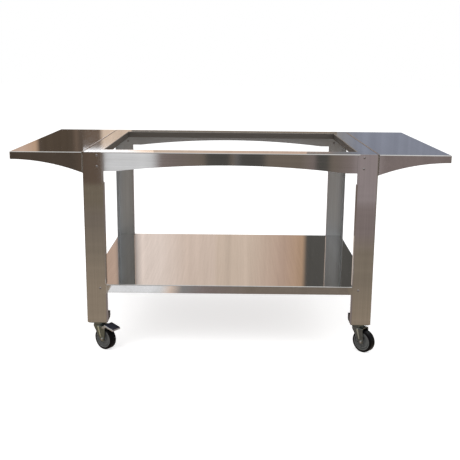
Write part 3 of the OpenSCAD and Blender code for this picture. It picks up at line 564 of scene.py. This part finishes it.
class FinishShop:
    """Makes the materials of plated, moulded, painted and rubber pieces, each once."""

    def __init__(self, tones):
        self.tones = tones
        self.group = bpy.data.node_groups.get("clouding") or cloud_group()

    def plain(self, name):
        return bpy.data.materials.get(name) or self.make(name, **FINISHES[name])

    def make(self, name, setting, roughness, metallic=0.0, coat=0.0, contrast=0.16, scale=60.0,
             bump=0.1, specular=0.5, ribs=None):
        """Makes a material; ribs, if given, takes its tree and place and gives how much painted highlight
        each point gets.
        """
        material, tree, shader = new_material(name)
        place = tree.add("TexCoord").outputs["Object"]
        base = tuple(getattr(self.tones, setting))
        light = (*(min(1.0, level * (1 + contrast)) for level in base), 1.0)
        dark = (*(level * (1 - contrast) for level in base), 1.0)
        clouds = tree.add("Group", {"node_tree": self.group}, Coordinates=place, Scale=scale,
                          Light=light, Dark=dark, Roughness=roughness, Spread=CLOUD_SPREAD)
        shade = clouds.outputs["Colour"]
        if ribs:
            # Paints the highlight onto the raised ribs.
            shade = tree.mix(ribs(tree, place), shade, (*self.tones.rib_highlight, 1.0))
        tree.plug(shader, "Base Color", shade)
        tree.plug(shader, "Roughness", clouds.outputs["Roughness"])
        surface = tree.add("Bump", Strength=bump, Distance=SPECK_HEIGHT, Height=clouds.outputs["Height"])
        tree.plug(shader, "Normal", surface.outputs[0])
        tree.plug(shader, "Metallic", metallic)
        tree.plug(shader, "Specular IOR Level", specular)
        tree.plug(shader, "Coat Weight", coat)
        return material

    def ribbed_zinc(self, corner, rib_nodes):
        """Zinc plate with a painted highlight on its raised ribs, for one corner's fork."""
        spin = JOINTS[corner + "_wheel_spin"]
        middle, axle = Vector(spin["pos_m"]), Vector(spin["axis"]).normalized()
        arm_top = middle.z + ARM_RISE
        fork = frame["nodes"][corner + "_fork"].data
        arms = [vertex.co - middle for vertex in fork.vertices if vertex.co.z < arm_top]
        crest = max(abs(spot.dot(axle)) for spot in arms)

        def ribs(tree, place):
            return tree.add("Group", {"node_tree": rib_nodes}, Coordinates=place,
                            Middle=middle, Axle=axle, Crest=crest, Top=arm_top).outputs[0]

        return self.make(corner + " fork zinc", ribs=ribs, **ZINC)


class CART_OT_caster_finish(Operator):
    """Finishes the casters: zinc plate, grey discs, black tyres and the pedal"""
    bl_idname = "cart.caster_finish"
    bl_label = "Caster finish"

    def execute(self, context):
        shop = FinishShop(context.scene.cart_caster)
        rib_nodes = rib_group()
        for corner in CORNERS:
            paint(corner + "_caster_plate", shop.plain("zinc plate"))
            paint(corner + "_king_pin", shop.plain("zinc plate"))
            paint(corner + "_fork", shop.ribbed_zinc(corner, rib_nodes))
            paint(corner + "_wheel", shop.plain("grey disc"))
            paint(corner + "_tyre", shop.plain("tyre rubber"))
            paint(corner + "_foot_bracket", shop.plain("black paint"))
        paint(BRAKED_CORNER + "_brake_pedal", shop.plain("pedal zinc"))
        paint(BRAKED_CORNER + "_brake_pin", shop.plain("bright steel"))
        paint(BRAKED_CORNER + "_pedal_tread", shop.plain("pedal tread"))
        return {"FINISHED"}


# Fasteners

# A cutter reaches this far past what it cuts, and a shank sinks this far into its head.
PAST, SHANK_BITE = 0.001, 0.0002
# A domed head's straight rim and the depth of its socket, in shares of its height.
HEAD_RIM, SOCKET_DEPTH = 0.12, 0.6
# The flat round the socket, in radii of the socket, and the least step between a head's rings.
SOCKET_LAND, LEAST_STEP = 1.25, 0.00005
# The depth of a thread and of the taper at its tip, in pitches.
THREAD_DEPTH, TIP_TAPER = 0.6, 0.25
# The plain part below the head, in shares of the shank.
FRAME_PLAIN, PLATE_PLAIN = 0.35, 0.3
# A nut's flange and where its chamfer begins, in heights, and where the slope above the flange ends,
# in flanges.
NUT_FLANGE, CHAMFER_FOOT, SLOPE_END = 0.2, 0.84, 1.7
# The shares to which the flange's top, the slope's end and the nut's far face draw in.
FLANGE_TOP, SLOPE_TOP, FAR_FACE = 0.93, 0.96, 0.97
# The slack between a nut's hole and the thread, and how far a cutter clears a nut's corners.
HOLE_SLACK, CLEAR = 0.0001, 1.001
# No fastener of the frame is as long as this.
LONGEST_FASTENER = 0.03
FRAME_SETS = ("apron", "side_shelf", "lower_shelf")


def dome_rings(head_d, head_h, socket_r, steps=5):
    """The rings of a domed head, from its seat to the flat round its socket."""
    dome_r = (head_d * head_d / 4 + head_h * head_h) / (2 * head_h)
    top_r = socket_r * SOCKET_LAND
    rings = [(0.0, head_d / 2), (HEAD_RIM * head_h, head_d / 2)]
    for step in range(1, steps + 1):
        radius = head_d / 2 + (top_r - head_d / 2) * step / steps
        height = head_h - dome_r + math.sqrt(dome_r * dome_r - radius * radius)
        rings.append((max(height, rings[-1][0] + LEAST_STEP), radius))
    return rings


def thread_rings(diameter, plain, pitch, tip):
    """The rings of a shank from its tip up to its head: crests and roots, then the plain part."""
    root = diameter / 2 - THREAD_DEPTH * pitch
    rings = [(-tip, root - TIP_TAPER * pitch)]
    height = -tip + 0.5 * pitch
    while height + pitch < -plain:
        rings += [(height, root), (height + pitch / 2, diameter / 2)]
        height += pitch
    rings += [(height, root), (-plain, diameter / 2), (SHANK_BITE, diameter / 2)]
    return rings


def domed_bolt(name, diameter, head_d, head_h, socket, plain, pitch, tip):
    """A domed bolt with a hex socket: its head's seat at z = 0, its head above and its thread below."""
    socket_r = over_corners(socket) / 2
    depth = SOCKET_DEPTH * head_h
    bolt = turned(name, dome_rings(head_d, head_h, socket_r))
    bolt = cut_with(bolt, hexagon(socket_r, 2 * depth, head_h))
    shank = turned("shank", thread_rings(diameter, plain, pitch, tip), sides=24)
    return cut_with(bolt, shank, "UNION")


def flange_nut(name, bore, flats, height, flange_d):
    """A nut with a flange at z = 0 and chamfered corners at its far end."""
    corners, flange_r, hole_r = over_corners(flats) / 2, flange_d / 2, bore / 2 + HOLE_SLACK
    flange = NUT_FLANGE * height
    nut = hexagon(corners, height, height / 2)
    nut.name = name
    chamfer = turned("chamfer", [(-PAST, corners), (height * CHAMFER_FOOT, corners * CLEAR),
                                 (height, flats / 2 * FAR_FACE)])
    nut = cut_with(nut, chamfer, "INTERSECT")
    collar = turned("collar", [(0, flange_r), (flange * 0.5, flange_r), (flange, flange_r * FLANGE_TOP),
                               (flange * SLOPE_END, flats / 2 * SLOPE_TOP)])
    nut = cut_with(nut, collar, "UNION")
    return cut_with(nut, turned("hole", [(-PAST, hole_r), (height + PAST, hole_r)], sides=24))


def ends(low, high, inset):
    return low + inset, high - inset


def front_and_back(box, xs, zs):
    """Places on a box's front and back, each with the way out of the cart."""
    faces = ((box[0][1], -1), (box[1][1], 1))
    return [((x, y, z), (0, out, 0)) for y, out in faces for x in xs for z in zs]


def left_and_right(box, ys, zs):
    """Places on a box's left and right sides, each with the way out of the cart."""
    faces = ((box[0][0], -1), (box[1][0], 1))
    return [((x, y, z), (out, 0, 0)) for x, out in faces for y in ys for z in zs]


def reach_inward(node, axis):
    """How deep the fasteners at the low face of their group reach along the axis."""
    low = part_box(node)[0][axis]
    along = [vertex.co[axis] - low for vertex in frame["nodes"][node].data.vertices]
    return max(depth for depth in along if depth < LONGEST_FASTENER)


class CART_OT_frame_fasteners(Operator):
    """Models the domed bolts and flange nuts that hold the frame"""
    bl_idname = "cart.frame_fasteners"
    bl_label = "Frame fasteners"

    def execute(self, context):
        size = context.scene.cart_hardware
        steel = FinishShop(context.scene.cart_caster).plain("bolt steel")
        head_r, head_h = size.frame_head / 2, size.frame_head_height
        deck, side, low = (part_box(kind + "_bolts") for kind in FRAME_SETS)
        xs = ends(deck[0][0], deck[1][0], head_r)
        ys = ends(side[0][1], side[1][1], head_r)
        zs = ends(deck[0][2], deck[1][2], head_r)
        low_zs = ((low[0][2] + low[1][2]) / 2,)

        def places(kind, box):
            if kind == "apron":
                return front_and_back(box, xs, zs)
            if kind == "side_shelf":
                return left_and_right(box, ys, zs)
            return front_and_back(box, xs, low_zs) + left_and_right(box, ys, low_zs)

        for kind in FRAME_SETS:
            node = kind + "_bolts"
            tip = reach_inward(node, 0 if kind == "side_shelf" else 1) - head_h
            master = domed_bolt(node + "_master", size.frame_thread, size.frame_head, head_h,
                                size.frame_socket, FRAME_PLAIN * tip, size.frame_pitch, tip)
            heads = places(kind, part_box(node))
            seated = [(Vector(place) - Vector(out) * head_h, out) for place, out in heads]
            finish_piece(copies(master, seated), kind + "_bolt_set", steel, node)
        low_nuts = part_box("lower_shelf_nuts")
        flange_d = low_nuts[1][2] - low_nuts[0][2]
        height = reach_inward("apron_nuts", 1)
        for kind in FRAME_SETS:
            node = kind + "_nuts"
            master = flange_nut(node + "_master", size.frame_thread, size.frame_nut, height, flange_d)
            inward = [(place, tuple(-part for part in out)) for place, out in places(kind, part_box(node))]
            finish_piece(copies(master, inward), kind + "_nut_set", steel, node)
        return {"FINISHED"}


class CART_OT_plate_fasteners(Operator):
    """Models the bolts and nuts that hold each caster's plate to its foot bracket"""
    bl_idname = "cart.plate_fasteners"
    bl_label = "Plate fasteners"

    def execute(self, context):
        size = context.scene.cart_hardware
        steel = FinishShop(context.scene.cart_caster).plain("bright steel")
        bolts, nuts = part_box("caster_bolts"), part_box("caster_nuts")
        plates = [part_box(corner + "_caster_plate") for corner in CORNERS]
        middles = [((low[0] + high[0]) / 2, (low[1] + high[1]) / 2) for low, high in plates]
        head_r = size.plate_head / 2
        half_x = bolts[1][0] - head_r - max(x for x, y in middles)
        half_y = bolts[1][1] - head_r - max(y for x, y in middles)
        spots = [(x + i * half_x, y + j * half_y) for x, y in middles for i in (-1, 1) for j in (-1, 1)]
        seat = bolts[0][2] + size.plate_head_height
        tip = bolts[1][2] - seat
        master = domed_bolt("plate_bolt_master", size.plate_thread, size.plate_head, size.plate_head_height,
                            size.plate_socket, PLATE_PLAIN * tip, size.plate_pitch, tip)
        heads_down = copies(master, [((x, y, seat), (0, 0, -1)) for x, y in spots])
        finish_piece(heads_down, "caster_bolt_set", steel, "caster_bolts")
        low, high = nuts[0][2], nuts[1][2]
        flange_d = 2 * (nuts[1][0] - max(x for x, y in spots))
        master = flange_nut("plate_nut_master", size.plate_thread, size.plate_nut, high - low, flange_d)
        nuts_up = copies(master, [((x, y, low), (0, 0, 1)) for x, y in spots])
        finish_piece(nuts_up, "caster_nut_set", steel, "caster_nuts")
        return {"FINISHED"}


# An axle's tip tapers to this share of its radius over this length, and the shank's other end stops
# this far inside the head.
AXLE_TIP, AXLE_TAPER, AXLE_STOP = 0.8, 0.0006, 0.001
# The head's chamfer begins this far below its top, and draws its face in to this share.
AXLE_HEAD_CHAMFER, AXLE_HEAD_FACE = 0.0012, 0.93
# The nut's height and where its chamfer begins, in heights of the head, and its outer face's share.
AXLE_NUT, AXLE_NUT_CHAMFER, AXLE_NUT_FACE = 0.6, 0.45, 0.9
# The nut's lock collar: its radius in halves of the flats, its end's share of that, where its end and
# its full radius stand above the shank's tip, and how far below the seat it reaches, in head heights.
COLLAR, COLLAR_END, COLLAR_LOW, COLLAR_FULL, COLLAR_SUNK = 0.88, 0.86, 0.0008, 0.0014, 0.2


class CART_OT_axles(Operator):
    """Models each wheel's axle: a hex bolt, and a lock nut with its round collar"""
    bl_idname = "cart.axles"
    bl_label = "Axles"

    def execute(self, context):
        steel = FinishShop(context.scene.cart_caster).plain("bright steel")
        for corner in CORNERS:
            joint = JOINTS[corner + "_wheel_spin"]
            middle, axis = Vector(joint["pos_m"]), Vector(joint["axis"]).normalized()
            solid = frame["nodes"][corner + "_axle"].data
            half = max((vertex.co - middle).dot(axis) for vertex in solid.vertices)
            master = self.axle(corner + "_axle_master", half, context.scene.cart_hardware)
            piece = copies(master, [(middle, joint["axis"])])
            finish_piece(piece, corner + "_axle_bolt", steel, corner + "_axle")
        return {"FINISHED"}

    def axle(self, name, half, size):
        """An axle about Z with its middle at the origin, its head at the top and its nut at the bottom."""
        seat = half - size.axle_head
        corners = over_corners(size.axle_flats) / 2
        thread = size.axle_thread / 2
        shank = turned("axle_shank", [(-half, thread * AXLE_TIP), (-half + AXLE_TAPER, thread),
                                      (half - AXLE_STOP, thread)])
        head = hexagon(corners, size.axle_head, seat + size.axle_head / 2)
        chamfer = turned("chamfer", [(seat - PAST, corners), (half - AXLE_HEAD_CHAMFER, corners),
                                     (half, size.axle_flats / 2 * AXLE_HEAD_FACE)])
        head = cut_with(head, chamfer, "INTERSECT")
        nut = hexagon(corners, AXLE_NUT * size.axle_head, -seat - AXLE_NUT / 2 * size.axle_head)
        chamfer = turned("chamfer", [(-half, size.axle_flats / 2 * AXLE_NUT_FACE),
                                     (-seat - AXLE_NUT_CHAMFER * size.axle_head, corners),
                                     (-seat + PAST, corners)])
        nut = cut_with(nut, chamfer, "INTERSECT")
        collar_r = size.axle_flats / 2 * COLLAR
        collar = turned("collar", [(-half + COLLAR_LOW, collar_r * COLLAR_END),
                                   (-half + COLLAR_FULL, collar_r),
                                   (-seat - COLLAR_SUNK * size.axle_head, collar_r)])
        nut = cut_with(nut, collar, "UNION")
        axle = cut_with(cut_with(shank, head, "UNION"), nut, "UNION")
        axle.name = name
        return axle


# Stage

# Screens that only reflections see. Each is (corner, corner, axis of its bands, {place: tone}), in
# metres, and is flat across the axis in which its two corners agree.
SCREENS = {
    "back_wall_low": ((-12, 12, 0), (12, 12, 2.85), "X", {
        -12: "ash", -9: "stone", -8.6: "chalk", -7.2: "chalk", -6.8: "ash", -5.4: "stone",
        -4.9: "sand", -4.3: "sand", -4.01: "tan", -3.98: "cocoa", -3.88: "bistre", -3.29: "bistre",
        -3.26: "cocoa", -3.24: "umber", -3.17: "umber", -3.13: "cocoa", -2.95: "umber", -2.72: "umber",
        -2.68: "blush", 1.95: "sand", 2.1: "stone", 2.6: "slate", 5.0: "slate", 12: "ash"}),
    "back_wall_high": ((-12, 12, 2.85), (12, 12, 7.0), "X", {
        -12: "ash", -8: "stone", -7.6: "chalk", -5.6: "chalk", -5.2: "ash", -3.6: "stone", -3: "sand",
        -2.42: "sand", -2.37: "ash", -2.06: "ash", -1.93: "ivory", -1.5: "ivory", -0.95: "cream",
        -0.36: "cream", -0.29: "linen", 0.35: "linen", 1.1: "sand", 1.5: "tan", 1.54: "coal",
        3.0: "coal", 12: "ash"}),
    "pale_pane": ((-3.03, 11.9, 2.39), (-1.6, 11.9, 2.84), "X", {
        -3.03: "chalk", -2.15: "chalk", -1.85: "cream", -1.6: "blush"}),
    "dull_pane": ((1.52, 11.9, 2.39), (2.7, 11.9, 2.84), "X", {1.52: "ash", 2.3: "ash", 2.7: "slate"}),
    "front_wall": ((-12, -12, 0), (12, -12, 9.0), "X", {
        -12: "mauve", -7: "clay", -5: "olive", -3: "umber", -1.5: "cocoa", -1.4: "slate", 1.0: "ash",
        1.1: "stone", 4: "chalk", 6: "lilac", 6.1: "coal", 8: "umber", 12: "slate"}),
    "left_wall": ((-12, -12, 0), (-12, 12, 9.0), "Y", {
        -12: "mauve", -8: "slate", -4: "ash", -3.9: "chalk", -1.6: "stone", 1.5: "ash", 1.6: "umber",
        3.5: "cocoa", 3.6: "lilac", 6: "stone", 6.4: "chalk", 8.4: "chalk", 9: "stone", 12: "ash"}),
    "right_wall": ((12, -12, 0), (12, 12, 9.0), "Y", {
        -12: "slate", -6: "ash", -3: "mauve", -2.9: "stone", 0: "chalk", 2: "stone", 2.1: "coal",
        4: "umber", 4.1: "slate", 8: "ash", 12: "ash"}),
    "wide_floor": ((-12, -12, 0.001), (12, 12, 0.001), "X", {
        -12: "clay", -7: "olive", -4: "umber", -1.8: "umber", -1.5: "clay", 0: "mauve", 1.2: "clay",
        4: "olive", 12: "clay"}),
    "front_rail": ((-2.6, -5.2, 0), (2.6, -5.2, 0.6), "X", {
        -2.6: "cocoa", -1.65: "cocoa", -1.5: "umber", -1.335: "umber", -1.32: "chalk", -0.84: "chalk",
        -0.74: "mauve", -0.29: "clay", -0.25: "coal", -0.03: "coal", 0.0: "clay", 0.06: "ash",
        0.1: "coal", 0.32: "coal", 0.38: "clay", 0.72: "clay", 0.86: "mauve", 0.89: "coal",
        1.0: "coal", 1.04: "clay", 1.25: "mauve", 1.31: "lilac", 1.5: "lilac", 1.6: "mauve",
        2.6: "mauve"}),
    "left_runner": ((-1.75, -5.2, 0.002), (-0.55, -0.3, 0.002), "Y", {
        -5.2: "umber", -4.9: "olive", -4.1: "olive", -3.4: "clay", -2.3: "fawn", -1.5: "khaki",
        -0.3: "khaki"}),
    "right_runner": ((0.55, -5.2, 0.002), (1.75, -0.3, 0.002), "Y", {
        -5.2: "lilac", -4.3: "lilac", -3.8: "mauve", -2.9: "mauve", -2.3: "fawn", -1.6: "fawn",
        -1.0: "khaki", -0.3: "khaki"}),
    "middle_runner": ((-0.685, -1.62, 0.003), (0.68, -1.34, 0.003), "X", {
        -0.685: "chalk", -0.4: "chalk", -0.34: "cream", -0.27: "stone", -0.15: "mauve", 0.1: "clay",
        0.68: "clay"}),
    "back_sill": ((-2.04, 11.9, 1.86), (2.12, 11.9, 2.06), "X", {-2.04: "coal", 2.12: "olive"}),
}
# Screens brighter than their own tones.
GLOW = {"pale_pane": 1.8, "middle_runner": 1.12}
# How far a screen's soft folds lighten and darken it, and the noise that makes them.
FOLD_DEPTH = 0.06
FOLD_NOISE = {"Scale": 5.0, "Detail": 3.0, "Roughness": 0.6}
# Each soft light's place and size in metres and its power in watts, and where they all point.
SOFT_LIGHTS = {"key_light": ((-2.2, -2.6, 3.4), 3.0, 60.0), "fill_light": ((2.8, -1.6, 2.6), 2.5, 25.0)}
LIGHT_AIM = (0, 0, 0.5)
# The floor's glow where it is seen rather than lit, and the sky's strength where it only lights.
FLOOR_GLOW, SKY_LIGHT = 0.6, 0.7
FLOOR_ROUGHNESS = 0.9
SENSOR_MM = 36


def seen_white(tree):
    """1 for rays from the camera and for mirrored and transmitted ones, else 0."""
    path = tree.add("LightPath")
    seen = tree.math("MAXIMUM", path.outputs["Is Camera Ray"], path.outputs["Is Glossy Ray"])
    return tree.math("MAXIMUM", seen, path.outputs["Is Transmission Ray"])


class CART_OT_stage(Operator):
    """Sets the floor, the soft lights, the screens and the camera"""
    bl_idname = "cart.stage"
    bl_label = "Stage"

    def execute(self, context):
        scene = context.scene
        self.floor(scene.cart_stage)
        for name, (low, high, axis, stops) in SCREENS.items():
            self.screen(name, low, high, axis, stops, scene.cart_room)
        for name, (place, size, power) in SOFT_LIGHTS.items():
            self.soft_light(name, place, size, power)
        self.sky(scene)
        self.camera(scene, scene.cart_stage)
        scene.view_settings.view_transform = "Standard"
        return {"FINISHED"}

    def floor(self, stage):
        deselect_all()
        bpy.ops.mesh.primitive_plane_add(size=2 * stage.floor_reach, location=(0, 0, 0))
        floor = bpy.context.object
        floor.name = "floor"
        material, tree, shader = new_material("pale floor")
        tree.plug(shader, "Base Color", (*stage.floor_colour, 1.0))
        tree.plug(shader, "Roughness", FLOOR_ROUGHNESS)
        tree.plug(shader, "Specular IOR Level", 0.0)
        tree.plug(shader, "Emission Color", (1, 1, 1, 1))
        tree.plug(shader, "Emission Strength", tree.math("MULTIPLY", seen_white(tree), FLOOR_GLOW))
        floor.data.materials.append(material)

    def screen(self, name, low, high, axis, stops, tones):
        """A flat screen between two corners, seen by reflections alone."""
        flat = min(range(3), key=lambda side: high[side] - low[side])
        along, up = (side for side in range(3) if side != flat)
        deselect_all()
        bpy.ops.mesh.primitive_plane_add(size=1)
        screen = bpy.context.object
        screen.name = name
        for vertex in screen.data.vertices:
            spot = [0.0, 0.0, 0.0]
            spot[flat] = low[flat]
            spot[along] = high[along] if vertex.co.x > 0 else low[along]
            spot[up] = high[up] if vertex.co.y > 0 else low[up]
            vertex.co = spot
        shades = [(place, tuple(getattr(tones, shade))) for place, shade in stops.items()]
        screen.data.materials.append(self.screen_tones(name, axis, shades))
        for ray in ("camera", "diffuse", "shadow", "transmission"):
            setattr(screen, "visible_" + ray, False)

    def screen_tones(self, name, axis, shades):
        """A glow in bands along the axis, with soft folds in it."""
        material, tree, shader = new_material(name + " tones")
        place = tree.add("TexCoord").outputs["Object"]
        way = tree.add("SeparateXYZ", Vector=place).outputs["XYZ".index(axis)]
        folds = tree.add("TexNoise", {"noise_dimensions": "1D"}, W=way, **FOLD_NOISE)
        lit = tree.add("VectorMath", {"operation": "SCALE"}, in0=tree.bands(way, shades))
        tree.plug(lit, "Scale", tree.remap(
            folds.outputs[0], *NOISE_RANGE, 1.0 - FOLD_DEPTH, 1.0 + FOLD_DEPTH))
        tree.plug(shader, "Base Color", (0, 0, 0, 1))
        tree.plug(shader, "Specular IOR Level", 0.0)
        tree.plug(shader, "Emission Strength", GLOW.get(name, 1.0))
        tree.plug(shader, "Emission Color", lit.outputs[0])
        return material

    def soft_light(self, name, place, size, power):
        """An area light that points at the cart and doesn't show in its reflections."""
        deselect_all()
        bpy.ops.object.light_add(type="AREA", location=place)
        light = bpy.context.object
        light.name = name
        light.data.size = size
        light.data.energy = power
        light.visible_glossy = False
        aim = Vector(LIGHT_AIM) - Vector(place)
        light.rotation_euler = aim.to_track_quat("-Z", "Y").to_euler()

    def sky(self, scene):
        world = bpy.data.worlds.new("studio")
        scene.world = world
        world.use_nodes = True
        tree = Tree(world.node_tree)
        back = tree.nodes["Background"]
        tree.plug(back, "Color", (1, 1, 1, 1))
        tree.plug(back, "Strength", tree.remap(seen_white(tree), 0.0, 1.0, SKY_LIGHT, 1.0))

    def camera(self, scene, stage):
        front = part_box("front_left_leg")[0][1]
        place = (stage.camera_right, front - stage.camera_away, stage.camera_height)
        deselect_all()
        bpy.ops.object.camera_add(location=place)
        camera = bpy.context.object
        camera.name = "camera"
        turn = Matrix.Rotation(-stage.camera_yaw, 4, "Z")
        turn = turn @ Matrix.Rotation(math.radians(90) - stage.camera_pitch, 4, "X")
        turn = turn @ Matrix.Rotation(stage.camera_roll, 4, "Z")
        camera.matrix_world = Matrix.Translation(place) @ turn
        camera.data.sensor_width = SENSOR_MM
        camera.data.lens = stage.camera_lens
        scene.camera = camera


# Add-on

class CART_PT_panel(Panel):
    """Lists the cart's finishes, fasteners and stage"""
    bl_idname = "CART_PT_panel"
    bl_label = "Oven Cart"
    bl_space_type = "VIEW_3D"
    bl_region_type = "UI"
    bl_category = "Oven Cart"

    def draw(self, context):
        for operator in OPERATORS:
            self.layout.operator(operator.bl_idname)


GROUPS = {"cart_room": RoomTones, "cart_steel": SteelSettings, "cart_caster": CasterTones,
          "cart_hardware": HardwareSizes, "cart_stage": StageSettings}
OPERATORS = (CART_OT_sheet_finish, CART_OT_caster_finish, CART_OT_frame_fasteners,
             CART_OT_plate_fasteners, CART_OT_axles, CART_OT_stage)
CLASSES = (*GROUPS.values(), *OPERATORS, CART_PT_panel)


def register():
    for kind in CLASSES:
        bpy.utils.register_class(kind)
    for name, group in GROUPS.items():
        setattr(bpy.types.Scene, name, PointerProperty(type=group))


def unregister():
    for name in GROUPS:
        delattr(bpy.types.Scene, name)
    for kind in reversed(CLASSES):
        bpy.utils.unregister_class(kind)


def main():
    register()
    bpy.ops.cart.sheet_finish()
    bpy.ops.cart.caster_finish()
    bpy.ops.cart.frame_fasteners()
    bpy.ops.cart.plate_fasteners()
    bpy.ops.cart.axles()
    bpy.ops.cart.stage()


if __name__ == "__main__":
    main()
